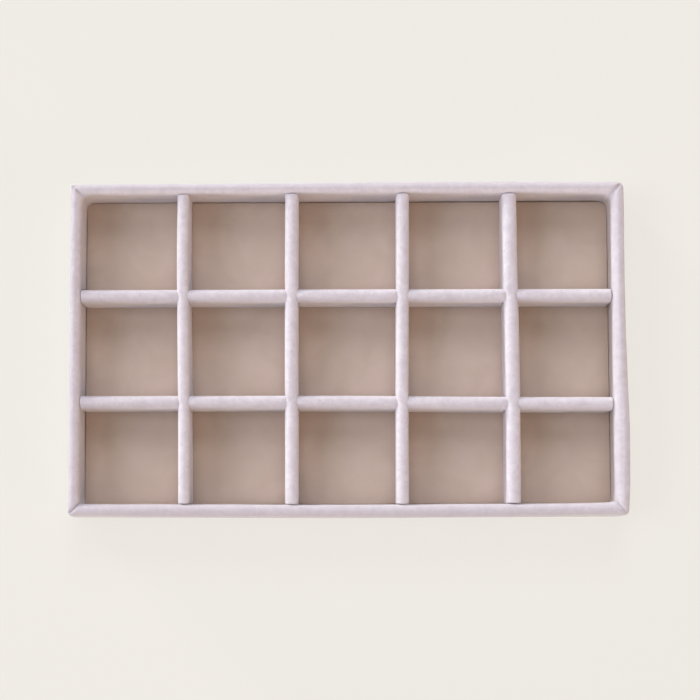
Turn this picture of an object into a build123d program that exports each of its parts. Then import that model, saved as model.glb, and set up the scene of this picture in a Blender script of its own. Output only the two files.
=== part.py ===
"""Velvet jewelry tray with a slotted, half-lapped divider grid that lifts out.

The origin is on the table under the middle of the tray. +X runs to the right along the long
side, +Y runs to the back and +Z is up. All lengths are in millimetres.
"""

from build123d import *
import os

os.makedirs("parts", exist_ok=True)

# Whole tray
tray_length = 270.0
tray_depth = 162.4
tray_height = 30.0
columns = 5
rows = 3

# Walls: a board wrapped in velvet, open only where the base board is glued on
wall_board_thickness = 4.2
wall_velvet = 1.2
wall_corner_radius = 4.0

# Base: felt underneath, a board above it and a suede-covered card as the floor
base_felt_thickness = 1.2
base_felt_corner_radius = 2.0
base_board_thickness = 3.0
floor_card_thickness = 1.2
floor_suede = 0.6
floor_corner_radius = 1.5

# Divider grid: boards in velvet sleeves, slotted halfway and lapped where they cross
divider_board_thickness = 4.0
divider_velvet = 1.5
divider_end_radius = 2.6
cross_crest_drop = 0.8
long_crest_drop = 1.1
slot_lining = 0.8

# Clearances
felt_edge_clearance = 0.3
floor_edge_gap = 0.8
grid_end_clearance = 0.4
grid_floor_clearance = 0.3
lap_clearance = 0.1
slot_clearance = 0.1
cut_overrun = 5.0

# Heights of the base and the floor
base_board_low = base_felt_thickness
base_board_high = base_board_low + base_board_thickness
floor_card_high = base_board_high + floor_card_thickness
floor_high = floor_card_high + floor_suede

# The space inside the walls
wall_thickness = wall_board_thickness + 2 * wall_velvet
inner_length = tray_length - 2 * wall_thickness
inner_depth = tray_depth - 2 * wall_thickness

# The grid: its heights, the lap where the dividers cross, and the spacing of its cells
divider_thickness = divider_board_thickness + 2 * divider_velvet
grid_low = floor_high + grid_floor_clearance
cross_crest = tray_height - cross_crest_drop
long_crest = tray_height - long_crest_drop
lap_height = (grid_low + cross_crest) / 2
long_divider_length = inner_length - 2 * grid_end_clearance
cross_divider_length = inner_depth - 2 * grid_end_clearance
cell_length = (inner_length - (columns - 1) * divider_thickness) / columns
cell_depth = (inner_depth - (rows - 1) * divider_thickness) / rows
column_pitch = cell_length + divider_thickness
row_pitch = cell_depth + divider_thickness


def strip_outline(width, foot, crest, foot_radius=0):
    """Outline of a strip seen from its end: flat foot, upright sides and a half-round top."""
    half = width / 2
    shoulder = crest - half
    with BuildLine() as outline:
        Line((-half, foot + foot_radius), (-half, shoulder))
        ThreePointArc((-half, shoulder), (0, crest), (half, shoulder))
        Line((half, shoulder), (half, foot + foot_radius))
        if foot_radius:
            RadiusArc((half, foot + foot_radius), (half - foot_radius, foot), foot_radius)
            RadiusArc((foot_radius - half, foot), (-half, foot + foot_radius), foot_radius)
        Line((half - foot_radius, foot), (foot_radius - half, foot))
    return outline.line.edges()


def wall_strip(along, across, thickness, foot, crest, foot_radius, corner_radius):
    """A wall strip along X on the -Y side of an along by across frame, mitred at both ends."""
    with BuildPart() as strip:
        with BuildSketch(Plane.YZ.offset(-along / 2)):
            with Locations((thickness / 2 - across / 2, 0)):
                add(make_face(strip_outline(thickness, foot, crest, foot_radius), mode=Mode.PRIVATE))
        extrude(amount=along)

        # The mitres at both ends
        with BuildSketch():
            with BuildLine():
                Polyline(
                    (-along / 2 - cut_overrun, -across / 2 - cut_overrun),
                    (along / 2 + cut_overrun, -across / 2 - cut_overrun),
                    (along / 2 - 2 * thickness, -across / 2 + 2 * thickness),
                    (2 * thickness - along / 2, -across / 2 + 2 * thickness),
                    close=True,
                )
            make_face()
        extrude(amount=crest, mode=Mode.INTERSECT)

        # The upright outer corners, rounded in plan
        with BuildSketch():
            RectangleRounded(along, across, corner_radius)
        extrude(amount=crest, mode=Mode.INTERSECT)
    return strip.part


def divider_strip(length, thickness, foot, crest, end_radius=0):
    """A divider along X through the origin, half-round on top, with square or rounded ends."""
    with BuildPart() as strip:
        with BuildSketch(Plane.YZ.offset(-length / 2)):
            make_face(strip_outline(thickness, foot, crest))
        extrude(amount=length)
        if end_radius:
            end_edges = strip.faces().filter_by(Axis.X).edges()
            foot_edges = end_edges.group_by(Axis.Z)[0]
            fillet(end_edges - foot_edges, radius=end_radius)
    return strip.part


# Walls: each is drawn as the front wall of its frame and then turned to its own side. The two
# short ones belong to a frame that lies the other way.
for quarter, side in enumerate(("front", "right", "back", "left")):
    turn = quarter * 90
    along, across = (tray_depth, tray_length) if quarter % 2 else (tray_length, tray_depth)

    with BuildPart() as wall_board:
        board = wall_strip(
            along - 2 * wall_velvet,
            across - 2 * wall_velvet,
            wall_board_thickness,
            wall_velvet,
            tray_height - wall_velvet,
            0,
            wall_corner_radius - wall_velvet,
        )
        add(board, rotation=(0, 0, turn))
    wall_board.part.label = f"{side}_wall_board"
    export_step(wall_board.part, f"parts/{side}_wall_board.step")

    with BuildPart() as wall_cover:
        wrapped = wall_strip(
            along, across, wall_thickness, 0, tray_height, wall_velvet, wall_corner_radius
        )
        add(wrapped, rotation=(0, 0, turn))
        add(wall_board.part, mode=Mode.SUBTRACT)
        # The velvet is left open along the edge of the base board
        with BuildSketch(Plane.XY.offset(base_board_low)):
            Rectangle(inner_length + 2 * wall_velvet, inner_depth + 2 * wall_velvet)
        extrude(amount=base_board_thickness, mode=Mode.SUBTRACT)
    wall_cover.part.label = f"{side}_wall_velvet"
    export_step(wall_cover.part, f"parts/{side}_wall_velvet.step")

# Base felt: the sheet that the tray rests on
with BuildPart() as base_felt:
    with BuildSketch():
        RectangleRounded(
            inner_length - 2 * felt_edge_clearance,
            inner_depth - 2 * felt_edge_clearance,
            base_felt_corner_radius,
        )
    extrude(amount=base_felt_thickness)
base_felt.part.label = "base_felt"
export_step(base_felt.part, "parts/base_felt.step")

# Base board: its edges are glued to the wall boards, where the velvet is left open
with BuildPart() as base_board:
    with BuildSketch(Plane.XY.offset(base_board_low)):
        Rectangle(inner_length + 2 * wall_velvet, inner_depth + 2 * wall_velvet)
    extrude(amount=base_board_thickness)
base_board.part.label = "base_board"
export_step(base_board.part, "parts/base_board.step")

# Floor card: lies on the base board, a little smaller than the space inside the walls
floor_length = inner_length - 2 * floor_edge_gap
floor_depth = inner_depth - 2 * floor_edge_gap
with BuildPart() as floor_card:
    with BuildSketch(Plane.XY.offset(base_board_high)):
        RectangleRounded(
            floor_length - 2 * floor_suede,
            floor_depth - 2 * floor_suede,
            floor_corner_radius - floor_suede,
        )
    extrude(amount=floor_card_thickness)
floor_card.part.label = "floor_card"
export_step(floor_card.part, "parts/floor_card.step")

# Floor suede: covers the card and is turned down over its edges
with BuildPart() as floor_lining:
    with BuildSketch(Plane.XY.offset(base_board_high)):
        RectangleRounded(floor_length, floor_depth, floor_corner_radius)
    extrude(amount=floor_card_thickness + floor_suede)
    fillet(floor_lining.faces().sort_by(Axis.Z)[-1].edges(), radius=floor_suede)
    add(floor_card.part, mode=Mode.SUBTRACT)
floor_lining.part.label = "floor_suede"
export_step(floor_lining.part, "parts/floor_suede.step")

# Dividers: square-ended boards in sleeves with rounded ends. The long ones are slotted from
# above and the cross ones from below, so the cross ones drop over them and lap halfway down.
slot_width = divider_thickness + 2 * slot_clearance
board_slot_width = slot_width + 2 * slot_lining

long_core = divider_strip(
    long_divider_length - 2 * divider_velvet,
    divider_board_thickness,
    grid_low,
    long_crest - divider_velvet,
)
long_sleeve = divider_strip(
    long_divider_length, divider_thickness, grid_low, long_crest, divider_end_radius
)
cross_core = divider_strip(
    cross_divider_length - 2 * divider_velvet,
    divider_board_thickness,
    grid_low,
    cross_crest - divider_velvet,
)
cross_sleeve = divider_strip(
    cross_divider_length, divider_thickness, grid_low, cross_crest, divider_end_radius
)

for row in range(rows - 1):
    divider_y = (row - (rows - 2) / 2) * row_pitch

    with BuildPart() as long_board:
        with Locations((0, divider_y, 0)):
            add(long_core)
        # Slots from above, wide enough for the velvet turned in over their edges
        with BuildSketch(Plane.XY.offset(lap_height - slot_lining)):
            with Locations((0, divider_y)):
                with GridLocations(column_pitch, 0, columns - 1, 1):
                    Rectangle(board_slot_width, divider_thickness)
        extrude(amount=tray_height, mode=Mode.SUBTRACT)
    long_board.part.label = f"long_divider_{row + 1}_board"
    export_step(long_board.part, f"parts/long_divider_{row + 1}_board.step")

    with BuildPart() as long_cover:
        with Locations((0, divider_y, 0)):
            add(long_sleeve)
        add(long_board.part, mode=Mode.SUBTRACT)
        # Each slot has the cross divider's own section, so the velvet laps over its shoulders
        with BuildSketch(Plane.XZ.offset(-divider_y - divider_thickness)):
            with GridLocations(column_pitch, 0, columns - 1, 1):
                slot = strip_outline(slot_width, lap_height, cross_crest + slot_clearance)
                add(make_face(slot, mode=Mode.PRIVATE))
        extrude(amount=2 * divider_thickness, mode=Mode.SUBTRACT)
    long_cover.part.label = f"long_divider_{row + 1}_velvet"
    export_step(long_cover.part, f"parts/long_divider_{row + 1}_velvet.step")

for column in range(columns - 1):
    divider_x = (column - (columns - 2) / 2) * column_pitch

    with BuildPart() as cross_board:
        with Locations((divider_x, 0, 0)):
            add(cross_core, rotation=(0, 0, 90))
        # Slots from below, wide enough for the velvet turned in over their edges
        with BuildSketch(Plane.XY.offset(lap_height + lap_clearance + slot_lining)):
            with Locations((divider_x, 0)):
                with GridLocations(0, row_pitch, 1, rows - 1):
                    Rectangle(divider_thickness, board_slot_width)
        extrude(amount=-tray_height, mode=Mode.SUBTRACT)
    cross_board.part.label = f"cross_divider_{column + 1}_board"
    export_step(cross_board.part, f"parts/cross_divider_{column + 1}_board.step")

    with BuildPart() as cross_cover:
        with Locations((divider_x, 0, 0)):
            add(cross_sleeve, rotation=(0, 0, 90))
        add(cross_board.part, mode=Mode.SUBTRACT)
        with BuildSketch(Plane.XY.offset(lap_height + lap_clearance)):
            with Locations((divider_x, 0)):
                with GridLocations(0, row_pitch, 1, rows - 1):
                    Rectangle(divider_thickness + 2 * cut_overrun, slot_width)
        extrude(amount=-tray_height, mode=Mode.SUBTRACT)
    cross_cover.part.label = f"cross_divider_{column + 1}_velvet"
    export_step(cross_cover.part, f"parts/cross_divider_{column + 1}_velvet.step")
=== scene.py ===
"""Velvet jewelry tray: a wrapped, mitred rim round a suede floor, and a half-lapped divider grid.

Lengths are in metres where nothing says millimetres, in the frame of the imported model: +X along
the long side, +Y to the back, +Z up, and the origin on the table under the middle of the tray.
"""

import math

import bmesh
import bpy
import numpy as np
from bpy.props import FloatProperty, FloatVectorProperty, PointerProperty
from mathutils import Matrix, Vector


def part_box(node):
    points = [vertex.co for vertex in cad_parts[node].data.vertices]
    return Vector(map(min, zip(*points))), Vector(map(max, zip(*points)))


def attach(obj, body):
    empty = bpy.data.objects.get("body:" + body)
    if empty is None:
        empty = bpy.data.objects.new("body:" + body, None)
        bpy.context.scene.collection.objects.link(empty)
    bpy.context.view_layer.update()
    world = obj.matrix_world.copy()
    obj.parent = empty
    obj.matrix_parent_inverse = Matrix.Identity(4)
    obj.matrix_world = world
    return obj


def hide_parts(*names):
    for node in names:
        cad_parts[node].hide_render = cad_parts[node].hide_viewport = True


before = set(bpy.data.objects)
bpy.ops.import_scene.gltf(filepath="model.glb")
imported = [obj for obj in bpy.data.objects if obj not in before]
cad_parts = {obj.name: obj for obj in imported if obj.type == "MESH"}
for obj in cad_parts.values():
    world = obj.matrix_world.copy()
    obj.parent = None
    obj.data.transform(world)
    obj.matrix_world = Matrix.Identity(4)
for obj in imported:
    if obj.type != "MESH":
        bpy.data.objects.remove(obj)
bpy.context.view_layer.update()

bl_info = {
    "name": "Velvet Jewelry Tray",
    "version": (1, 0, 0),
    "blender": (4, 5, 0),
    "location": "View3D > Sidebar > Tray",
    "description": "Dresses a jewelry tray in velvet, suede and felt",
    "category": "Object",
}

MM = 0.001
SIDES = ("front", "right", "back", "left")

# Sizes read from the frame
FRONT_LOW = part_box("front_wall_velvet")[0]
WALL_LOW, WALL_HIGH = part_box("left_wall_velvet")
CORE_LOW, CORE_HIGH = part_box("left_wall_board")
BASE_LOW, BASE_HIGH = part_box("base_board")
FLOOR_LOW, FLOOR_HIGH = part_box("floor_suede")
CARD_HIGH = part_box("floor_card")[1]
FELT_LOW, FELT_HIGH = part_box("base_felt")
LENGTH, DEPTH, HEIGHT = -2 * WALL_LOW.x, -2 * FRONT_LOW.y, WALL_HIGH.z
WALL = WALL_HIGH.x - WALL_LOW.x
HALF = WALL / 2
VELVET = (WALL - (CORE_HIGH.x - CORE_LOW.x)) / 2
SHOULDER = HEIGHT - HALF
LONG_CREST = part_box("long_divider_1_velvet")[1].z
# The tray's corners from the front right one round to the front left: their outer radius in
# plan, and how far the velvet bridges them on the inside
CORNERS = (2.8 * MM, 4.0 * MM, 2.8 * MM, 2.8 * MM)
WEBS = (0.6 * MM, 1.3 * MM, 1.3 * MM, 0.5 * MM)
# Squareness of the dividers' rounded tops on their front or left side and on the other
DIVIDER_ARCH = {"long": (1.0, 0.88), "cross": (0.88, 0.88)}

# Where the real tray wanders from a true rectangle. Each row is one strip: sideways shifts in
# millimetres, towards +X or +Y, at even stations from its left or front end. The left and
# right walls are straight.
WALL_WANDER = {"front": (0.5, 0.1, -0.3, -0.1, 0.1), "back": (0.0, 0.2, 0.35, 0.45, 0.45)}
STRAIGHT = (0.0, 0.0)
DIVIDER_WANDER = {
    "long": ((0.15, 0.05, -0.1, -0.8, -1.15), (-0.5, -0.5, -0.5, -0.6, -0.7)),
    "cross": (
        (0.65, 0.45, 0.0, -0.45, -0.25),
        (-0.5, -0.5, -0.6, -0.5, -0.35),
        (0.0, -0.05, 0.2, 0.55, 0.7),
        (0.6, 0.7, 0.6, 0.0, -0.25),
    ),
}
# How much fuller than in the frame the velvet of each wall is, in millimetres, at the same
# stations: on its outer face, at the top of its inner face and at the foot of that face
WALL_FULLNESS = {
    "front": ((-0.4, -0.25, -0.35, 0.1, -0.9), (-0.45,) * 5, (-0.3,) * 5),
    "right": ((0.6, 0.9, -0.1, -0.5, -0.1), (0.2,) * 5, (-0.7,) * 5),
    "back": ((-0.95, -0.85, -0.65, -0.55, -1.0), (-0.2, -0.6, -0.6, -0.45, -0.1), (-0.1,) * 5),
    "left": ((-0.95,) * 5, (-0.5,) * 5, (-0.5,) * 5),
}
# Squareness of each wall's rounded top on its outer and inner side: 1 is a half round, less
# is flatter with a tighter shoulder, more is peaked
WALL_ARCH = {
    "front": (0.88, 0.88), "right": (0.88, 1.12), "back": (0.88, 0.88), "left": (0.62, 0.88),
}
# How much fuller the velvet of each divider is on either face, in millimetres
DIVIDER_FULLNESS = {"long": (-0.25, -0.25), "cross": (-0.65, -0.3, -0.4, 0.0)}
# How strongly a warm painted shade, brown as with light bounced off the floor, darkens the inner
# face of each wall, and how strongly painted shade darkens the outer side, the crest and the inner
# side of its rounded top
WALL_PAINTED_WARM_SHADE = {"front": 0.3, "right": 0.85, "back": 0.2, "left": 0.3}
WALL_PAINTED_SHADE = {
    "front": (0.6, 0.35, 0.3), "right": (0.1, 0.08, 0.35),
    "back": (0.5, 0.28, 0.05), "left": (0.85, 0.2, 0.0),
}
# The same for the dividers: the warm painted shade on the front or left face and on the other, and
# the painted shade on the front or left side of the top, its crest and its other side
DIVIDER_PAINTED_WARM_SHADE = {"long": (0.55, 0.1), "cross": (0.1, 0.3)}
DIVIDER_PAINTED_SHADE = {"long": (0.45, 0.14, 0.0), "cross": (0.0, 0.0, 0.0)}
# How much painted shade darkens the mitre creases
CREASE_PAINTED_SHADE = 0.75
# The gaps from the walls' velvet to the dividers' ends and, in millimetres, to the lining
END_GAP = 0.2 * MM
LINING_GAP = {"front": 0.3, "right": 0.12, "back": 0.4, "left": 0.17}
# The walls that a divider's two ends face
ENDS = {"long": ("left", "right"), "cross": ("front", "back")}
# The thickness of the velvet turned into the slots, and the gap that it leaves there
SLOT_LINING, SLOT_GAP = 0.8 * MM, 0.1 * MM
# Which of the fixed heights of a divider's side columns is the lap's
LAP = 5
# How far apart the broad and the fine lumps are, and the lumps of the rim's roll and the felt
WALL_LUMPS, DIVIDER_LUMPS, LINING_LUMPS = (9 * MM, 3.5 * MM), (8 * MM, 3.2 * MM), (38 * MM, 9 * MM)
ROLL_LUMPS, FELT_LUMPS = 22 * MM, 26 * MM
# How far under the crest the rim rolls out most, and over what height
ROLL_UNDER, ROLL_REACH = 4.2 * MM, 2.2 * MM
# The lining's corners are rounded by this many times the web that they clear
CORNER_PER_WEB = 2.8
# How far apart the lining's points are, and how many the felt has along X and along Y
LINING_SPACING, FELT_POINTS = 2.0 * MM, (129, 76)
# How many random numbers the noise has each way, and the cell that it starts in
LATTICE, LATTICE_START = 32, 1000.0
# Points nearer than this are welded, and edges sharper than this many degrees stay sharp
WELD, SHARP = 0.0002 * MM, 55

# The lamps: name, height and direction of the light in degrees (0 from +X, 90 from +Y),
# strength, width of the lamp in degrees, and colour
LAMPS = (
    ("window", 6, 135, 2.72, 14, (1.0, 1.0, 0.94)),
    ("window_side", 6, 225, 1.05, 14, (1.0, 1.0, 1.0)),
    ("soft_left", 50, 180, 0.86, 30, (0.97, 1.0, 1.13)),
    ("soft_back", 50, 90, 0.9, 30, (0.97, 1.0, 1.13)),
    ("soft_top", 90, 0, 0.44, 40, (0.9, 0.94, 0.98)),
    ("room", 25, 335, 0.8, 30, (1.0, 0.7, 0.45)),
    ("room_front", 20, 270, 0.42, 30, (1.0, 0.93, 0.82)),
)


# ---- Shapes of the surfaces


def ease(t):
    """Smooth step: 3 t^2 - 2 t^3 between 0 and 1."""
    t = np.clip(t, 0.0, 1.0)
    return t * t * (3 - 2 * t)


def ramp(length, start, full):
    """Smooth step from 0 where a length is at start to 1 where it is at full, which are in
    millimetres."""
    return ease((length / MM - start) / (full - start))


def bell(distance, reach):
    """Bell curve: e to the power -(distance / reach)^2, which is 1 at no distance."""
    return np.exp(-((distance / reach) ** 2))


def rounded(t, power):
    """t to that power with its sign kept: below 1 it makes a circle's sine or cosine squarer."""
    return np.sign(t) * np.abs(t) ** power


def curve_through(values, span, at):
    """Cubic Hermite curve through even stations over a span about 0, with central slopes."""
    values = np.asarray(values, float)
    slopes = np.gradient(values)
    place = np.clip(at / span + 0.5, 0.0, 1.0) * (len(values) - 1)
    left = np.minimum(place.astype(int), len(values) - 2)
    t = place - left
    rise = ease(t)
    start = values[left] * (1 - rise) + slopes[left] * t * (1 - t) ** 2
    return start + values[left + 1] * rise - slopes[left + 1] * t * t * (1 - t)


def lumps(points, size, seed):
    """Value noise from -1 to 1: random numbers on a cubic lattice of that size, eased between."""
    lattice = np.random.default_rng(seed).uniform(-1, 1, (LATTICE, LATTICE, LATTICE))
    place = np.asarray(points) / size + LATTICE_START
    cell = np.floor(place).astype(int)
    t = ease(place - cell)
    total = 0.0
    for corner in np.ndindex(2, 2, 2):
        weight = np.prod(np.where(corner, t, 1 - t), axis=-1)
        total = total + weight * lattice[tuple(np.moveaxis((cell + corner) % LATTICE, -1, 0))]
    return total


def soft_lumps(points, sizes, seed, share=0.5):
    """Broad lumps, and fine ones that are a share of their height."""
    return lumps(points, sizes[0], seed) + share * lumps(points, sizes[1], seed + 1)


def grid_of(*coordinates):
    """Three coordinate arrays, spread to one shape and put side by side."""
    return np.stack(np.broadcast_arrays(*coordinates), axis=-1)


def linked(name, data):
    """A new object with that data, linked to the scene."""
    made = bpy.data.objects.new(name, data)
    bpy.context.scene.collection.objects.link(made)
    return made


def shell_object(name, finish, outer, inner, **layers):
    """A skin with two faces: the outer and inner grids (rows, columns, 3), each cut into
    quads, and joined to each other by quads all round their four edges. Points that fall on
    each other are welded, and the skin is turned so that its signed volume is positive.
    Each layer is a number at every grid point, which the finish reads by its name."""
    rows, columns = outer.shape[:2]
    front = np.arange(rows * columns).reshape(rows, columns)
    rear = front + rows * columns

    def quads(index):
        corners = (index[:-1, :-1], index[1:, :-1], index[1:, 1:], index[:-1, 1:])
        return np.stack(corners, axis=-1).reshape(-1, 4)

    edge = np.concatenate([front[0, :-1], front[:-1, -1], front[-1, :0:-1], front[:0:-1, 0]])
    across = edge + rows * columns
    rim = np.stack([edge, np.roll(edge, -1), np.roll(across, -1), across], axis=-1)
    faces = np.concatenate([quads(front), quads(rear)[:, ::-1], rim])
    points = np.concatenate([outer.reshape(-1, 3), inner.reshape(-1, 3)])

    mesh = bpy.data.meshes.new(name)
    mesh.from_pydata(points, [], faces.tolist())
    for layer, values in layers.items():
        attribute = mesh.attributes.new(layer, "FLOAT", "POINT")
        values = np.broadcast_to(values, outer.shape[:2]).astype(np.float32)
        attribute.data.foreach_set("value", np.tile(values.ravel(), 2))
    work = bmesh.new()
    work.from_mesh(mesh)
    bmesh.ops.remove_doubles(work, verts=work.verts, dist=WELD)
    if work.calc_volume(signed=True) < 0:
        bmesh.ops.reverse_faces(work, faces=work.faces)
    work.to_mesh(mesh)
    work.free()
    mesh.polygons.foreach_set("use_smooth", np.ones(len(mesh.polygons), bool))
    mesh.set_sharp_from_angle(angle=math.radians(SHARP))
    mesh.materials.append(finish)
    return linked(name, mesh)


def tray_wander(points, scale):
    """Shifts points along Y with the wandering of the long walls: the shift runs from the front
    wall's to the back wall's over the depth."""
    x, y, z = np.moveaxis(points, -1, 0)
    front, back = (curve_through(WALL_WANDER[side], LENGTH, x) for side in ("front", "back"))
    shift = front + (back - front) * np.clip(y / DEPTH + 0.5, 0, 1)
    return grid_of(x, y + shift * scale * MM, z)


def painted_shade_across(amounts, across):
    """How much painted shade a rounded top has across it, from -1 to 1: an amount for either side
    and one for the crest, eased between them."""
    low, middle, high = amounts
    return middle + (np.where(across < 0, low, high) - middle) * ease(np.abs(across) / 0.7)


def wall_face(side, at, top):
    """Where the inner face of a wall's velvet is at a place along it, at its top or foot, as
    the distance from the middle of the tray."""
    across, along = (LENGTH, DEPTH) if side in ENDS["long"] else (DEPTH, LENGTH)
    wander = curve_through(WALL_WANDER.get(side, STRAIGHT), along, at)
    full = curve_through(WALL_FULLNESS[side][1 if top else 2], along, at)
    outward = 1 if side in ("right", "back") else -1
    return across / 2 - WALL + (outward * wander - full) * MM


def wall_profile():
    """Section of a wall's velvet from hem to hem: up the inner face, over a half round, down
    the outer face and under the foot. Rows are depth from the outer face, height, the outward
    direction in depth and height, and whether the place is on the half round."""
    hem = BASE_HIGH.z
    up = np.linspace(0, 1, 12, endpoint=False)
    over = np.linspace(0, np.pi, 33)
    down = np.linspace(1, 0, 12)[1:]
    turn = np.linspace(0, np.pi / 2, 6)
    under = np.linspace(0, 1, 5)[1:-1]
    cos, sin = np.cos(over), np.maximum(np.sin(over), 0)
    inner = [WALL + 0 * up, hem + (SHOULDER - hem) * up, 1 + 0 * up, 0 * up]
    arch = [HALF + HALF * cos, SHOULDER + HALF * sin, cos, sin]
    outer = [0 * down, VELVET + (SHOULDER - VELVET) * down, -1 + 0 * down, 0 * down]
    cos, sin = np.cos(turn), np.sin(turn)
    heel = [VELVET - VELVET * cos, VELVET - VELVET * sin, -cos, -sin]
    foot = [VELVET + (WALL - 2 * VELVET) * under, 0 * under, 0 * under, -1 + 0 * under]
    toe = [WALL - VELVET + VELVET * sin, VELVET - VELVET * cos, sin, -cos]
    parts = [inner, arch, outer, heel, foot, toe]
    on_arch = np.concatenate([np.full(len(part[0]), part is arch) for part in parts])
    return (*np.concatenate(parts, axis=1), on_arch)


def wall_path(along, across, depth, height, straight, turn, corner):
    """Points of a wall on the -Y side of an along by across tray. A point at some depth runs
    along the straight and then round the rest of the corner's radius to the mitre at 45 deg."""
    reach = np.maximum(corner, depth)
    radius = np.maximum(corner - depth, 0)
    x = straight * (along / 2 - reach) + radius * np.sin(turn)
    y = -(across / 2 - reach) - radius * np.cos(turn)
    return grid_of(x, y, height)


def wall_grids(side, quarter, shapes):
    """Outer and inner grids of one wall's velvet, and its two layers of painted shade. The outer
    skin is the section pushed out by its fullness, its roll over the shoulders, soft lumps, a
    groove along the mitre and a web across the inside corner; the inner skin lies on the
    board. At a mitre the two walls share the mean of their fullness and squareness, which
    fades with the distance from it."""
    along, across = (DEPTH, LENGTH) if quarter % 2 else (LENGTH, DEPTH)
    depth, height, side_way, up_way, on_arch = wall_profile()

    # The rows: along the straight, closer together near its ends, and round both corners
    steps = int(along / shapes.spacing)
    straight = np.linspace(-1, 1, steps)
    straight = np.sign(straight) * (1 - (1 - np.abs(straight)) ** 1.12)
    bend = np.linspace(0, np.pi / 4, 9)[1:]
    ends = np.ones(len(bend))
    straight = np.concatenate([-ends, straight, ends])[:, None]
    turn = np.concatenate([-bend[::-1], np.zeros(steps), bend])[:, None]
    track = (straight, turn, np.where(straight > 0, CORNERS[quarter], CORNERS[quarter - 1]))

    base = wall_path(along, across, depth, height, *track)
    from_end = along / 2 - np.abs(base[..., 0])
    from_mitre = np.maximum(from_end - (base[..., 1] + across / 2), 0) / math.sqrt(2)
    share = 0.5 * np.exp(-from_mitre / shapes.corner_blend)
    ahead = base[..., 0] > 0

    def settle(own, after, before):
        """This wall's own value, shared with the next wall's and the last one's."""
        return own + (np.where(ahead, after, before) - own) * share

    def fullness(row):
        """That row of the table along this wall, shared with its neighbours at the mitres."""
        before, own, after = (
            WALL_FULLNESS[SIDES[wall]][row][:: 1 if wall < 2 else -1]
            for wall in ((quarter - 1) % 4, quarter, (quarter + 1) % 4)
        )
        own = curve_through(own, along, base[..., 0])
        return settle(own, after[0], before[-1]) * MM

    outside, top_inside, foot_inside = (fullness(row) for row in range(3))
    arches = [WALL_ARCH[name] for name in (side, SIDES[(quarter + 1) % 4], SIDES[quarter - 1])]
    arch = np.where(side_way < 0, *(settle(*values) for values in zip(*arches)))
    soft_depth = np.where(on_arch, HALF + HALF * rounded(side_way, arch), depth)
    soft_height = np.where(on_arch, SHOULDER + HALF * rounded(up_way, arch), height)

    under = HEIGHT - height
    sideways, inwards = np.abs(side_way), np.clip(side_way, 0, 1)
    upper = ramp(under, 9, 3)
    above = height > (BASE_LOW.z + BASE_HIGH.z) / 2
    rise = np.clip((height - FLOOR_HIGH.z) / (SHOULDER - FLOOR_HIGH.z), 0, 1)
    inside = (foot_inside + (top_inside - foot_inside) * rise) * above
    puff = np.where(side_way > 0, inside, outside * upper) * sideways
    # Each wall takes its lumps from its own part of the noise
    place = base + np.array([quarter * 0.31, 0, 0])
    roll = bell(under - ROLL_UNDER, ROLL_REACH) * (0.6 + 0.4 * lumps(place, ROLL_LUMPS, 11))
    puff = puff + shapes.roll * roll * sideways
    puff = puff + shapes.lump * soft_lumps(place, WALL_LUMPS, 3) * upper * ramp(from_mitre, 0, 2)
    groove = bell(from_mitre, shapes.crease_width) * np.clip(up_way, 0, 1) ** 0.5
    puff = puff - shapes.mitre_crease * groove * ramp(depth, 0.6, 2.6)
    web = np.where(ahead, WEBS[quarter], WEBS[quarter - 1]) * inwards * above
    puff = puff + web * np.exp(-from_mitre / shapes.web_reach) * ramp(under, 0, 3)

    soft_depth, soft_height = soft_depth + puff * side_way, soft_height + puff * up_way
    outer = wall_path(along, across, soft_depth, soft_height, *track)
    inner = wall_path(along, across, depth - VELVET * side_way, height - VELVET * up_way, *track)
    cos, sin = ((1, 0), (0, 1), (-1, 0), (0, -1))[quarter]
    turned = np.array([[cos, sin, 0], [-sin, cos, 0], [0, 0, 1]])
    # Painted shade: darker on the sides and crests that the lamps light too brightly and in the
    # mitre creases, and a warm painted shade on the inner face
    wear = np.maximum(painted_shade_across(WALL_PAINTED_SHADE[side], side_way), CREASE_PAINTED_SHADE * groove)
    layers = {"nap": WALL_PAINTED_WARM_SHADE[side] * inwards * ramp(under, 1.5, 4.5), "wear": wear}
    return tray_wander(outer @ turned, shapes.wander), inner @ turned, layers


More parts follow.
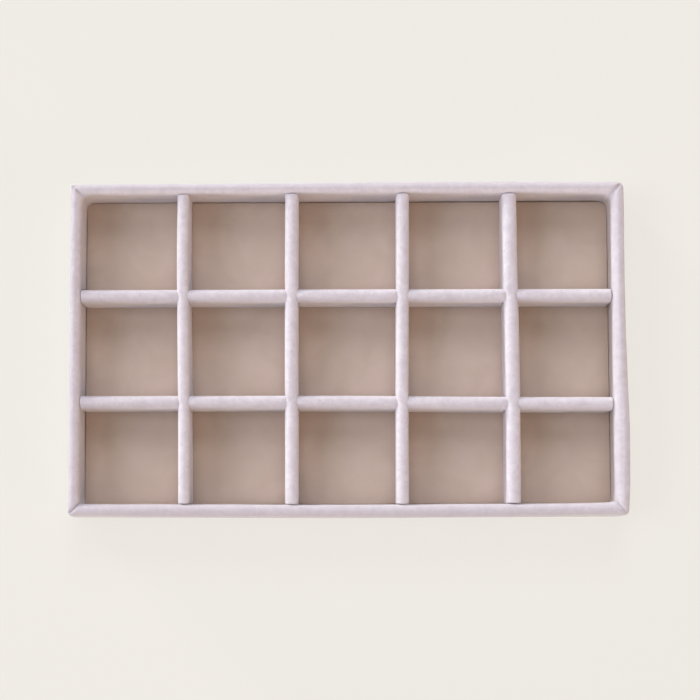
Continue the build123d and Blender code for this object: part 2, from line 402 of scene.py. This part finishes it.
class Sleeve:
    """The sizes of one divider's velvet, and the surface that they give.

    s runs along the divider and n across it. The section has upright sides and a half-round
    top: n = half * across, and over the top z = crest - half + half * up.
    """

    def __init__(self, kind, number, shapes):
        low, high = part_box(f"{kind}_divider_{number}_velvet")
        board_low, board_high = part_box(f"{kind}_divider_{number}_board")
        along, sideways = (0, 1) if kind == "long" else (1, 0)
        self.kind, self.number, self.shapes = kind, number, shapes
        self.span = LENGTH if kind == "long" else DEPTH
        self.low, self.high = low[along], high[along]
        self.middle = (low[sideways] + high[sideways]) / 2
        self.box_half = (high[sideways] - low[sideways]) / 2
        self.half = self.box_half + DIVIDER_FULLNESS[kind][number - 1] * MM
        self.foot, self.crest = low.z, high.z
        self.shoulder = self.crest - self.half
        self.board_half = (board_high[sideways] - board_low[sideways]) / 2
        self.board_crest = board_high.z
        self.board_low, self.board_high = board_low[along], board_high[along]
        self.drop = shapes.pinch_drop if kind == "long" else self.crest - LONG_CREST
        self.others = []

    def end_at(self, way, height):
        """Where an end is at a height: a gap from the wall, which leans, and never further out
        than it is higher up, so that the grid lifts out."""
        side = ENDS[self.kind][way > 0]
        top = wall_face(side, self.middle, True) - END_GAP
        foot = min(wall_face(side, self.middle, False) - END_GAP, top)
        rise = np.clip((height - self.foot) / (self.shoulder - self.foot), 0, 1)
        return way * (foot + (top - foot) * rise)

    def side_shift(self, s):
        """Where the divider's middle line is at s."""
        wander = curve_through(DIVIDER_WANDER[self.kind][self.number - 1], self.span, s) * MM
        return self.middle + wander * self.shapes.wander

    def section(self, s):
        """Half width and crest height at s, both drawn in where the dividers cross: a long top
        sinks by the pinch's drop there, and a cross top to the height of the long ones."""
        pinch = sum(bell(s - other.middle, self.shapes.pinch_reach) for other in self.others)
        half = self.half * (1 - self.shapes.pinch_narrow * pinch)
        return half, self.crest - self.drop * pinch

    def arch_at(self, s, side):
        """Squareness of the top at s, where side is below 0 on the front or left side. The back
        and left arms are flattened at a crossing, where they lie over the other divider, and
        the front and right ones keep round noses."""
        way = -1 if self.kind == "long" else 1
        flat = 0.0
        for other in self.others:
            away = s - other.middle
            flat = flat + bell(away, self.shapes.flat_reach) * ramp(way * away, -1, 1)
        return np.where(side < 0, *DIVIDER_ARCH[self.kind]) - self.shapes.flattening * flat

    def top_at(self, s, n):
        """Height at (s, n) of the rounded top as it is away from the crossings, held at the
        shoulder outside its width, and how far n is inside that width."""
        off = n - self.side_shift(s)
        arch = np.where(off < 0, *DIVIDER_ARCH[self.kind])
        off = np.abs(off)
        rise = (1 - np.minimum(off / self.half, 1) ** (2 / arch)) ** (arch / 2)
        return self.shoulder + self.half * rise, self.half - off


def sleeve_columns(foot, lap):
    """The fixed heights of the side columns, and for every column the cosine and sine round
    the section and its fixed height, which is NaN over the top."""
    levels = np.array([foot / MM, 8.5, 11.0, 13.5, 16.0, lap / MM, 20.0, 22.0, 23.4]) * MM
    over = np.linspace(np.pi, 0, 33)
    side = np.ones(len(levels))
    cosine = np.concatenate([-side, np.cos(over), side])
    sine = np.concatenate([0 * side, np.maximum(np.sin(over), 0), 0 * side])
    fixed = np.concatenate([levels, np.full(len(over), np.nan), levels[::-1]])
    return levels, cosine, sine, fixed


def sleeve_skin(sleeve, lap, soft):
    """One skin of a divider's velvet as a grid (rows, columns, 3): the soft outer one, or the
    plain inner one on the board.

    Rows of the section are carried along s. At an end they sink from the rounded end to the
    foot. A long divider's slots open at the top: each arm runs on to where its top meets the
    cross divider's, returns under that nose and sinks down the slot's wall to the lap. A cross
    divider's slots open at the foot, so there the foot of each row is lifted to the lap.
    """
    shapes = sleeve.shapes
    top_open = sleeve.kind == "long"
    lining = 0.0 if soft else SLOT_LINING
    lap = lap - lining if top_open else lap + lining
    levels, cosine, sine, fixed = sleeve_columns(sleeve.foot, lap)
    sides, columns = ~np.isnan(fixed), np.ones(len(fixed))
    low, high, rounding = sleeve.board_low, sleeve.board_high, 0.0
    if soft:
        low, high = (sleeve.end_at(way, sleeve.crest) for way in (-1, 1))
        rounding = shapes.end_rounding

    def surface(s, inset=0.0):
        """n and z of every column at s, the section drawn in by inset all round."""
        s = np.broadcast_to(s, (len(s), len(cosine)))
        arch = sleeve.arch_at(s, cosine) if soft else 1.0
        across, up = rounded(cosine, arch), rounded(sine, arch)
        if soft:
            middle, (half, crest) = sleeve.side_shift(s), sleeve.section(s)
            height = np.where(sides, fixed, crest - half + half * up)
            # Each divider takes its lumps, which start over its shoulders, from its own noise
            n, z = half * across + 0.17 * sleeve.number, height + (0.5 if top_open else 0)
            lump = soft_lumps(grid_of(s, n, z), DIVIDER_LUMPS, 5)
            lump = lump * shapes.lump * ease((up - 0.27) / 0.4)
        else:
            middle, lump = sleeve.middle + 0 * s, 0.0
            half, crest = sleeve.board_half, sleeve.board_crest
        n = (half - inset + lump) * across
        z = np.where(sides, fixed, crest - half + (half - inset + lump) * up)
        return middle + n, z

    def ends(s, inward):
        """Rows from the foot of an end up its flat and round its edge."""
        n, z = surface(np.array([[s + 0.0]]), rounding)
        rows = []
        for level in levels:
            at = sleeve.end_at(-inward, level) if soft else s
            rows.append(grid_of(at, n, np.minimum(z, level)))
        for angle in np.linspace(0, np.pi / 2, 7)[:-1]:
            at = np.array([[s + inward * rounding * (1 - np.cos(angle))]])
            rows.append(grid_of(at, *surface(at, rounding * (1 - np.sin(angle)))))
        return rows

    def nose(station, wall):
        """Where each column of an arm meets the cross divider, and the rows from there back
        under the nose to the slot's wall and down it to the lap. A column ends at the first
        step in from the wall at which it is under the cross divider's top."""
        tip = columns * wall
        if soft:
            s = wall + (station.middle - wall) * np.linspace(0, 1, 220)[:, None]
            n, z = surface(s)
            top, inside = station.top_at(n, s)
            hidden = (inside > 0) & (z < top - shapes.nose_sink)
            hidden[-1] = True
            tip = s[np.where(sides, 0, np.argmax(hidden, axis=0)), 0]
        n, z = surface(tip[None])
        fold = []
        for t in (0.25, 0.5, 0.75, 1.0):
            s = tip + (wall - tip) * t
            roof = station.top_at(n[0], s)[0] - shapes.nose_sink if soft else HEIGHT
            fold.append(grid_of(s, n, np.minimum(z, roof)))
        n, z = fold[-1][..., 1], fold[-1][..., 2]
        fold += [grid_of(wall, n, np.minimum(z, level)) for level in levels[:LAP - 1:-1]]
        return tip, fold

    knots = [sleeve.low, *(other.middle for other in sleeve.others), sleeve.high]
    counts = iter((np.diff(knots) / shapes.spacing).astype(int))

    def arm(start, stop):
        """Rows between two sets of column ends, closer together near both."""
        t = np.linspace(0, 1, next(counts))[:, None]
        s = start + (stop - start) * (t - 0.055 * np.sin(2 * np.pi * t))
        return list(grid_of(s, *surface(s)))

    rows = ends(low, 1)
    here = columns * (low + rounding)
    for station in sleeve.others:
        reach = SLOT_GAP + (station.half if soft else station.box_half + lining)
        before, after = station.middle - reach, station.middle + reach
        if top_open:
            tip, fold = nose(station, before)
            next_tip, next_fold = nose(station, after)
            rows += arm(here, tip) + fold + next_fold[::-1]
            here = next_tip
            continue
        rows += arm(here, columns * before)
        steps = np.linspace(before, after, 15)
        lifts = [levels[1:LAP + 1], *[[lap]] * (len(steps) - 2), levels[LAP:0:-1]]
        for s, lift in zip(steps, lifts):
            n, z = surface(columns[None] * s)
            rows += [grid_of(s, n, np.maximum(z, level)) for level in lift]
        here = columns * after
    rows += arm(here, columns * (high - rounding))
    rows += ends(high, -1)[::-1]

    grid = np.concatenate([row.reshape(1, len(cosine), 3) for row in rows])
    return grid if top_open else grid[..., [1, 0, 2]]


def panel_grids(low, high, top, hem, skin, relief, seed):
    """Outer and inner grids of a sheet laid on a panel and turned down over its edges. Height
    is the top less the larger of the two edges' drops, each a quarter round and then a fall."""
    quarter = np.linspace(0, np.pi / 2, 5)
    pairs = []
    for axis in (0, 1):
        near, far = low[axis], high[axis]
        flat = np.linspace(near + skin, far - skin, int((far - near) / LINING_SPACING))
        edge = skin * (1 - np.sin(quarter[:0:-1]))
        place = np.concatenate([[near], near + edge, flat, far - edge[::-1], [far]])
        fall = skin * (1 - np.cos(quarter[1:]))
        drop = np.concatenate([[top - hem], fall[::-1], 0 * flat, fall, [top - hem]])
        inner = np.clip(place, near + skin, far - skin)
        inner_drop = np.where(drop >= top - hem, top - hem - skin, 0)
        pairs.append((place, drop, inner, inner_drop))
    (x, drop_x, inner_x, fall_x), (y, drop_y, inner_y, fall_y) = pairs
    z = top - np.maximum(drop_x[:, None], drop_y[None])
    outer = grid_of(x[:, None], y[None], z)
    rise = relief * soft_lumps(outer, LINING_LUMPS, seed, 0.3)
    outer[..., 2] += np.where(z > top - 0.01 * MM, rise, 0)
    inner_z = top - skin - np.maximum(fall_x[:, None], fall_y[None])
    inner = grid_of(inner_x[:, None], inner_y[None], inner_z)
    return round_corners(outer, low, high), round_corners(inner, low, high)


def round_corners(points, low, high):
    """Rounds the corners in plan to clear the walls' webs: within a corner's square, (u, v) from
    its inner point goes to (u sqrt(1 - v^2 / 2), v sqrt(1 - u^2 / 2)), which takes the square
    to a quarter disc."""
    right = points[..., 0] > (low[0] + high[0]) / 2
    back = points[..., 1] > (low[1] + high[1]) / 2
    web = np.where(right, np.where(back, WEBS[1], WEBS[0]), np.where(back, WEBS[2], WEBS[3]))
    radius = CORNER_PER_WEB * web
    start, share = [], []
    for axis in (0, 1):
        near, far = low[axis] + radius, high[axis] - radius
        start.append(np.clip(points[..., axis], near, far))
        share.append((points[..., axis] - start[axis]) / radius)
    (u, v), (x, y) = share, start
    x = x + radius * u * np.sqrt(1 - v**2 / 2)
    y = y + radius * v * np.sqrt(1 - u**2 / 2)
    return grid_of(x, y, points[..., 2])


# ---- Materials


def colour_of(values):
    """An RGB property as RGBA."""
    return (*values, 1.0)


def feed(tree, slot, given):
    """Links what a node gives to a slot, or sets the slot's own value."""
    if isinstance(given, Value):
        tree.links.new(given.socket, slot)
    else:
        slot.default_value = given


class Value:
    """What a node gives. Arithmetic on it adds Math nodes."""

    def __init__(self, tree, socket):
        self.tree, self.socket = tree, socket

    def math(self, operation, other):
        """That operation on this number and another."""
        node = self.tree.nodes.new("ShaderNodeMath")
        node.operation = operation
        for slot, given in zip(node.inputs, (self, other)):
            feed(self.tree, slot, given)
        return Value(self.tree, node.outputs[0])

    def __add__(self, other):
        return self.math("ADD", other)

    def __mul__(self, other):
        return self.math("MULTIPLY", other)

    __radd__ = __add__

    def between(self, low, high):
        """0 below low, 1 above high, and a smooth step between."""
        node = self.tree.nodes.new("ShaderNodeMapRange")
        node.interpolation_type = "SMOOTHSTEP"
        self.tree.links.new(self.socket, node.inputs[0])
        node.inputs[1].default_value, node.inputs[2].default_value = low, high
        return Value(self.tree, node.outputs[0])


class Finish:
    """A material whose nodes are made one call at a time. Sizes are in millimetres."""

    def __init__(self, name):
        self.material = bpy.data.materials.new(name)
        self.material.use_nodes = True
        self.tree = self.material.node_tree
        self.shader = self.tree.nodes["Principled BSDF"]
        self.place = self.node("ShaderNodeTexCoord", output="Object")

    def node(self, kind, settings=None, output=0, **inputs):
        """Adds a node: its settings first, then the values or links of its sockets, where a
        socket's name is written with underscores. Gives one of its outputs."""
        node = self.tree.nodes.new(kind)
        for key, setting in (settings or {}).items():
            setattr(node, key, setting)
        for key, given in inputs.items():
            wanted = key.replace("_", " ")
            slot = next(s for s in node.inputs if s.enabled and s.name == wanted)
            feed(self.tree, slot, given)
        return Value(self.tree, node.outputs[output])

    def noise(self, size, detail=2.0, roughness=0.5, stretch=None, distortion=0.0):
        """Noise with features of that size, as a number from 0 to 1."""
        place = self.place
        if stretch:
            place = self.node("ShaderNodeMapping", Vector=place, Scale=stretch)
        return self.node(
            "ShaderNodeTexNoise", Vector=place, Scale=1 / (size * MM), Detail=detail,
            Roughness=roughness, Distortion=distortion,
        )

    def blend(self, amount, first, second):
        """A colour from first to second by amount."""
        first, second = (
            end if isinstance(end, Value) else colour_of(end) for end in (first, second)
        )
        settings = {"data_type": "RGBA"}
        return self.node("ShaderNodeMix", settings, output=2, Factor=amount, A=first, B=second)

    def bump(self, height, depth, strength, **under):
        """A bump of that depth, on top of another one where its Normal is given."""
        return self.node(
            "ShaderNodeBump", Height=height, Distance=depth * MM, Strength=strength, **under
        )

    def surface(self, colour, roughness, normal, specular, sheen=(0.0, 0.5)):
        """Feeds the shader. The specular level and the sheen's weight and roughness are
        constants on its own sockets."""
        inputs = {
            "Base Color": colour, "Roughness": roughness, "Normal": normal,
            "Specular IOR Level": specular, "Sheen Weight": sheen[0],
            "Sheen Roughness": sheen[1],
        }
        for name, given in inputs.items():
            feed(self.tree, self.shader.inputs[name], given)
        return self.material


def velvet_finish(name, colours):
    """Short velvet: pile tufts of 0.35 mm, patches of 3 to 11 mm where the nap lies the other
    way, a few darker finger marks, and painted shade from the mesh's own two layers."""
    finish = Finish(name)
    tufts = finish.noise(0.35, 3.0, 0.7)
    patches = finish.noise(3.2, 3.0, 0.6, distortion=0.6)
    broad = finish.noise(11)
    marks = finish.noise(2.1, 1.0).between(0.66, 0.82)
    shade = patches.between(0.32, 0.7) * 0.55 + broad.between(0.3, 0.75) * 0.3 + tufts * 0.3
    colour = finish.blend(shade, colours.velvet_shade, colours.velvet)
    colour = finish.blend(marks * 0.35, colour, colours.velvet_mark_and_painted_shade)
    # Painted shade from the mesh's two layers: darker on crests, shoulders and creases, and warm
    # brown on the shaded inner faces
    for layer, tone in (("wear", colours.velvet_mark_and_painted_shade), ("nap", colours.velvet_painted_warm_shade)):
        amount = finish.node("ShaderNodeAttribute", {"attribute_name": layer}, output="Fac")
        colour = finish.blend(amount, colour, tone)
    relief = finish.bump(patches, 0.35, 0.2, Normal=finish.bump(tufts, 0.22, 0.5))
    return finish.surface(colour, 0.86 + tufts * 0.12, relief, 0.12, sheen=(0.6, 0.45))


def suede_finish(colours):
    """Microfibre suede: fine matted fibres, cloudy patches and a faint lengthwise grain."""
    finish = Finish("floor_suede")
    fibres = finish.noise(0.28, 4.0, 0.75)
    clouds = finish.noise(17, 3.0, 0.55, distortion=0.5)
    grain = finish.noise(1.2, stretch=(0.25, 1.0, 1.0))
    shade = clouds.between(0.3, 0.72) * 0.5 + fibres * 0.35 + grain * 0.15
    colour = finish.blend(shade, colours.suede_shade, colours.suede)
    relief = finish.bump(grain, 0.1, 0.3, Normal=finish.bump(fibres, 0.12, 0.5))
    return finish.surface(colour, 0.88 + fibres * 0.1, relief, 0.15, sheen=(0.15, 0.5))


def felt_finish(colours):
    """Pressed felt: tangled fibres in two directions over soft clumps."""
    finish = Finish("base_felt")
    one, other = (
        finish.noise(0.5, 4.0, 0.8, stretch=stretch, distortion=1.5)
        for stretch in ((0.3, 1.0, 1.0), (1.0, 0.3, 1.0))
    )
    clumps = finish.noise(4, 3.0, 0.6)
    tangle = one * 0.5 + other * 0.5
    shade = tangle.between(0.3, 0.7) * 0.65 + clumps * 0.35
    colour = finish.blend(shade, colours.felt_shade, colours.felt)
    relief = finish.bump(tangle, 0.35, 0.7)
    return finish.surface(colour, 0.9 + tangle * 0.08, relief, 0.1, sheen=(0.2, 0.6))


def board_finish(colours):
    """Cut fibreboard: pressed wood dust with scattered darker and paler slivers."""
    finish = Finish("board")
    dust = finish.noise(0.4, 4.0, 0.7)
    slivers = finish.noise(1.4, 3.0, 0.6, stretch=(0.35, 0.35, 1.0))
    shade = slivers.between(0.35, 0.7) * 0.7 + dust * 0.3
    colour = finish.blend(shade, colours.board_shade, colours.board)
    return finish.surface(colour, 0.7 + dust * 0.2, finish.bump(dust, 0.1, 0.4), 0.25)


def card_finish(colours):
    """Grey card: recycled pulp with fine flecks."""
    finish = Finish("floor_card")
    pulp = finish.noise(0.8, 4.0, 0.7)
    flecks = finish.noise(0.5, 1.0).between(0.68, 0.76)
    colour = finish.blend(pulp, colours.card_shade, colours.card)
    colour = finish.blend(flecks * 0.6, colour, colours.card_shade)
    return finish.surface(colour, 0.75 + pulp * 0.15, finish.bump(pulp, 0.08, 0.3), 0.2)


# ---- Settings


def length_property(label, text, millimetres):
    """A length setting."""
    return FloatProperty(
        name=label, description=text, default=millimetres * MM, unit="LENGTH", precision=5,
    )


def share_property(label, text, default, most=1.0):
    """A setting that is a share, from 0."""
    return FloatProperty(
        name=label, description=text, default=default, subtype="FACTOR", min=0, max=most,
    )


def colour_property(label, text, default):
    """A colour setting, in linear RGB."""
    return FloatVectorProperty(
        name=label, description=text, default=default, subtype="COLOR", size=3, min=0, max=1,
    )


class TrayShapes(bpy.types.PropertyGroup):
    """Sizes of the soft forms."""

    spacing: length_property("Spacing", "Distance between the rows of a strip's mesh", 0.9)
    wander: share_property("Wander", "How far the strips wander: 1 is as hand-made", 1.0, 1.2)
    roll: length_property("Roll", "How far the velvet stands out over the rim's shoulders", 0.1)
    lump: length_property("Lumps", "Height of the soft lumps in the velvet", 0.07)
    mitre_crease: length_property("Mitre crease", "Depth of the groove along each mitre", 0.9)
    crease_width: length_property("Crease width", "Half the width of that groove", 0.65)
    corner_blend: length_property("Corner blend", "How far from a mitre two walls mix", 6)
    web_reach: length_property("Web reach", "How far from an inside corner it is bridged", 1.5)
    end_rounding: length_property("End rounding", "Radius round the dividers' ends", 0.7)
    pinch_drop: length_property("Pinch drop", "How far the long tops sink at a crossing", 0.9)
    pinch_narrow: share_property("Pinch narrowing", "Width lost at a crossing", 0.03, 0.4)
    pinch_reach: length_property("Pinch reach", "How far from a crossing that is felt", 3.2)
    flattening: share_property("Flattening", "Flatness of the arms at a crossing", 0.3, 0.4)
    flat_reach: length_property("Flat reach", "How far from a crossing arms are flattened", 4.5)
    nose_sink: length_property("Nose sink", "How far noses press into the cross dividers", 0.05)


class TrayColours(bpy.types.PropertyGroup):
    """Colours of the finishes."""

    velvet: colour_property("Velvet", "Where the nap catches the light", (0.80, 0.735, 0.78))
    velvet_shade: colour_property("Velvet shade", "Where the nap turns away", (0.66, 0.59, 0.64))
    # The colour of the pressed marks, and also of the painted shade on crests, shoulders and
    # creases
    velvet_mark_and_painted_shade: colour_property("Velvet mark", "Pressed marks in the nap", (0.50, 0.44, 0.48))
    # Painted shade, warm as with light bounced off the floor, for the shaded inner faces
    velvet_painted_warm_shade: colour_property("Velvet down", "Nap that lies downwards", (0.53, 0.43, 0.38))
    suede: colour_property("Suede", "Paler fibres of the floor", (0.66, 0.525, 0.43))
    suede_shade: colour_property("Suede shade", "Darker fibres", (0.57, 0.441, 0.352))
    felt: colour_property("Felt", "Paler fibres underneath", (0.36, 0.31, 0.28))
    felt_shade: colour_property("Felt shade", "Darker fibres underneath", (0.21, 0.175, 0.155))
    board: colour_property("Board", "Paler wood of the boards", (0.46, 0.31, 0.18))
    board_shade: colour_property("Board shade", "Darker wood", (0.27, 0.165, 0.085))
    card: colour_property("Card", "Paler pulp of the floor card", (0.40, 0.38, 0.35))
    card_shade: colour_property("Card shade", "Darker pulp of the card", (0.24, 0.225, 0.205))


class TrayStage(bpy.types.PropertyGroup):
    """Camera, lamps and floor."""

    floor: colour_property("Floor", "Colour of the floor and backdrop", (0.871, 0.847, 0.791))
    lens: FloatProperty(
        name="Lens", description="Focal length on a 36 mm sensor", default=106.5, min=10,
    )
    location: FloatVectorProperty(
        name="Camera", description="Where the camera stands",
        default=(-0.001472, -0.091483, 1.022844), subtype="TRANSLATION", unit="LENGTH",
    )
    rotation: FloatVectorProperty(
        name="Camera turn", description="How the camera is turned, about X, Y and then Z",
        default=tuple(math.radians(a) for a in (5.202, -0.144, -0.196)), subtype="EULER",
    )
    light: FloatProperty(name="Light", description="Strength of all the lamps", default=1.0, min=0)
    floor_glow: share_property("Floor glow", "Share of its colour that needs no light", 0.8)
    fill: share_property("Fill", "Light from all round, as a share of the backdrop's", 0.18)


# ---- Operators


class TrayOperator:
    """What the operators share."""

    bl_options = {"REGISTER", "UNDO"}

    def done(self, count):
        self.report({"INFO"}, f"{count} pieces made")
        return {"FINISHED"}


class TRAY_OT_wrap_walls(TrayOperator, bpy.types.Operator):
    """Wrap the four wall boards in velvet that is mitred at the corners"""

    bl_idname = "tray.wrap_walls"
    bl_label = "Wrap the walls"

    def execute(self, context):
        shapes = context.scene.tray_shapes
        finish = velvet_finish("wall_velvet", context.scene.tray_colours)
        for quarter, side in enumerate(SIDES):
            outer, inner, layers = wall_grids(side, quarter, shapes)
            cover = shell_object(f"{side}_wall_cover", finish, outer, inner, **layers)
            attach(cover, "tray")
            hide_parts(f"{side}_wall_velvet")
        return self.done(4)


class TRAY_OT_sleeve_dividers(TrayOperator, bpy.types.Operator):
    """Sleeve the dividers in velvet, with pinched noses where they cross"""

    bl_idname = "tray.sleeve_dividers"
    bl_label = "Sleeve the dividers"

    def execute(self, context):
        shapes = context.scene.tray_shapes
        finish = velvet_finish("divider_velvet", context.scene.tray_colours)
        long_ones = [Sleeve("long", number, shapes) for number in (1, 2)]
        cross_ones = [Sleeve("cross", number, shapes) for number in (1, 2, 3, 4)]
        lap = (cross_ones[0].foot + cross_ones[0].crest) / 2
        for sleeve in long_ones + cross_ones:
            is_long = sleeve.kind == "long"
            sleeve.others = cross_ones if is_long else long_ones
            slot_level = lap if is_long else lap + SLOT_GAP
            outer, inner = (sleeve_skin(sleeve, slot_level, soft) for soft in (True, False))
            name = f"{sleeve.kind}_divider_{sleeve.number}"
            height, across = outer[..., 2], sleeve_columns(sleeve.foot, lap)[1]
            straight = sleeve.shoulder - sleeve.foot
            # Painted shade: a warm darkening of the shaded faces below the shoulder, weaker
            # towards the foot, and a darkening of the long tops' front shoulder
            fall = ramp(sleeve.shoulder - height, -2, 1)
            nap = np.where(across < 0, *DIVIDER_PAINTED_WARM_SHADE[sleeve.kind]) * fall
            nap = nap * np.minimum((height - sleeve.foot) / straight, 1)
            wear = painted_shade_across(DIVIDER_PAINTED_SHADE[sleeve.kind], across) * (1 - 0.6 * fall)
            cover = shell_object(f"{name}_sleeve", finish, outer, inner, nap=nap, wear=wear)
            girth = 2 * straight + math.pi * sleeve.half
            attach(cover, "grid")
            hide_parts(f"{name}_velvet")
        return self.done(6)


class TRAY_OT_line_floor(TrayOperator, bpy.types.Operator):
    """Cover the floor card with suede that is turned down over its edges"""

    bl_idname = "tray.line_floor"
    bl_label = "Line the floor"

    def execute(self, context):
        skin = FLOOR_HIGH.z - CARD_HIGH.z
        front, right, back, left = (
            wall_face(side, 0.0, False) - LINING_GAP[side] * MM for side in SIDES
        )
        outer, inner = panel_grids(
            (-left, -front), (right, back), FLOOR_HIGH.z, FLOOR_LOW.z, skin,
            relief=0.06 * MM, seed=21,
        )
        finish = suede_finish(context.scene.tray_colours)
        lining = shell_object("floor_lining", finish, outer, inner)
        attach(lining, "tray")
        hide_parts("floor_suede")
        turned = 2 * (FLOOR_HIGH.z - FLOOR_LOW.z)
        flat = (left + right + turned, front + back + turned)
        return self.done(1)


class TRAY_OT_glue_felt(TrayOperator, bpy.types.Operator):
    """Glue the felt under the base board"""

    bl_idname = "tray.glue_felt"
    bl_label = "Glue the felt"

    def execute(self, context):
        x = np.linspace(FELT_LOW.x, FELT_HIGH.x, FELT_POINTS[0])[:, None]
        y = np.linspace(FELT_LOW.y, FELT_HIGH.y, FELT_POINTS[1])[None]
        edge = np.minimum(np.minimum(x - FELT_LOW.x, FELT_HIGH.x - x),
                          np.minimum(y - FELT_LOW.y, FELT_HIGH.y - y))
        sag = 0.08 * MM * (1 + lumps(grid_of(x, y, 0.0), FELT_LUMPS, 31)) / 2
        outer = grid_of(x, y, FELT_LOW.z + sag * ramp(edge, 0, 6))
        finish = felt_finish(context.scene.tray_colours)
        felt = shell_object("felt_sheet", finish, outer, grid_of(x, y, FELT_HIGH.z))
        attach(felt, "tray")
        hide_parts("base_felt")
        return self.done(1)


class TRAY_OT_finish_boards(TrayOperator, bpy.types.Operator):
    """Give the boards and the floor card their own finishes"""

    bl_idname = "tray.finish_boards"
    bl_label = "Finish the boards"

    def execute(self, context):
        colours = context.scene.tray_colours
        card, board = card_finish(colours), board_finish(colours)
        boards = [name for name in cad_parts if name.endswith(("_board", "_card"))]
        for name in boards:
            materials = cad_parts[name].data.materials
            materials.clear()
            materials.append(card if name == "floor_card" else board)
        return self.done(len(boards))


class TRAY_OT_set_stage(TrayOperator, bpy.types.Operator):
    """Set the floor, the lamps and the camera"""

    bl_idname = "tray.set_stage"
    bl_label = "Set the stage"

    def execute(self, context):
        scene, stage = context.scene, context.scene.tray_stage
        scene.view_settings.view_transform = "Standard"

        mesh = bpy.data.meshes.new("studio_floor")
        wide = 3.0
        corners = [(-wide, -wide, 0), (wide, -wide, 0), (wide, wide, 0), (-wide, wide, 0)]
        mesh.from_pydata(corners, [], [(0, 1, 2, 3)])
        finish = Finish("studio_floor")
        tree = finish.tree
        paper = finish.node("ShaderNodeBsdfDiffuse", Color=colour_of(stage.floor))
        glow = finish.node("ShaderNodeEmission", Color=colour_of(stage.floor))
        seen = finish.node("ShaderNodeLightPath", output="Is Camera Ray")
        both = tree.nodes.new("ShaderNodeMixShader")
        for slot, given in zip(both.inputs, (seen * stage.floor_glow, paper, glow)):
            feed(tree, slot, given)
        tree.nodes.remove(finish.shader)
        tree.links.new(both.outputs[0], tree.nodes["Material Output"].inputs["Surface"])
        mesh.materials.append(finish.material)
        floor = linked("studio_floor", mesh)

        world = scene.world = bpy.data.worlds.new("studio")
        world.use_nodes = True
        tree = world.node_tree
        backdrop = tree.nodes["Background"].inputs
        path = tree.nodes.new("ShaderNodeLightPath")
        seen = Value(tree, path.outputs["Is Camera Ray"])
        feed(tree, backdrop["Color"], colour_of(stage.floor))
        feed(tree, backdrop["Strength"], seen * (1 - stage.fill) + stage.fill)

        for name, height, direction, strength, width, colour in LAMPS:
            data = bpy.data.lights.new(name, "SUN")
            data.energy, data.color = strength * stage.light, colour
            data.angle = math.radians(width)
            turn = (0, math.radians(90 - height), math.radians(direction))
            linked(name, data).rotation_euler = turn

        data = bpy.data.cameras.new("camera")
        data.sensor_width, data.lens = 36.0, stage.lens
        data.clip_start, data.clip_end = 0.01, 20
        scene.camera = linked("camera", data)
        scene.camera.location, scene.camera.rotation_euler = stage.location, stage.rotation
        return self.done(1)


class TRAY_PT_panel(bpy.types.Panel):
    """Lists the tray's settings and the steps that make it"""

    bl_idname = "TRAY_PT_panel"
    bl_label = "Jewelry Tray"
    bl_space_type = "VIEW_3D"
    bl_region_type = "UI"
    bl_category = "Tray"

    def draw(self, context):
        for group in ("tray_shapes", "tray_colours", "tray_stage"):
            settings = getattr(context.scene, group)
            box = self.layout.box()
            for key in settings.__annotations__:
                box.prop(settings, key)
        for step in STEPS:
            self.layout.operator(step.bl_idname)


STEPS = (
    TRAY_OT_set_stage,
    TRAY_OT_wrap_walls,
    TRAY_OT_sleeve_dividers,
    TRAY_OT_line_floor,
    TRAY_OT_glue_felt,
    TRAY_OT_finish_boards,
)
CLASSES = (TrayShapes, TrayColours, TrayStage, *STEPS, TRAY_PT_panel)


def register():
    for cls in CLASSES:
        bpy.utils.register_class(cls)
    bpy.types.Scene.tray_shapes = PointerProperty(type=TrayShapes)
    bpy.types.Scene.tray_colours = PointerProperty(type=TrayColours)
    bpy.types.Scene.tray_stage = PointerProperty(type=TrayStage)


def unregister():
    del bpy.types.Scene.tray_stage
    del bpy.types.Scene.tray_colours
    del bpy.types.Scene.tray_shapes
    for cls in reversed(CLASSES):
        bpy.utils.unregister_class(cls)


def main():
    register()
    for step in STEPS:
        group, name = step.bl_idname.split(".")
        getattr(getattr(bpy.ops, group), name)()


if __name__ == "__main__":
    main()
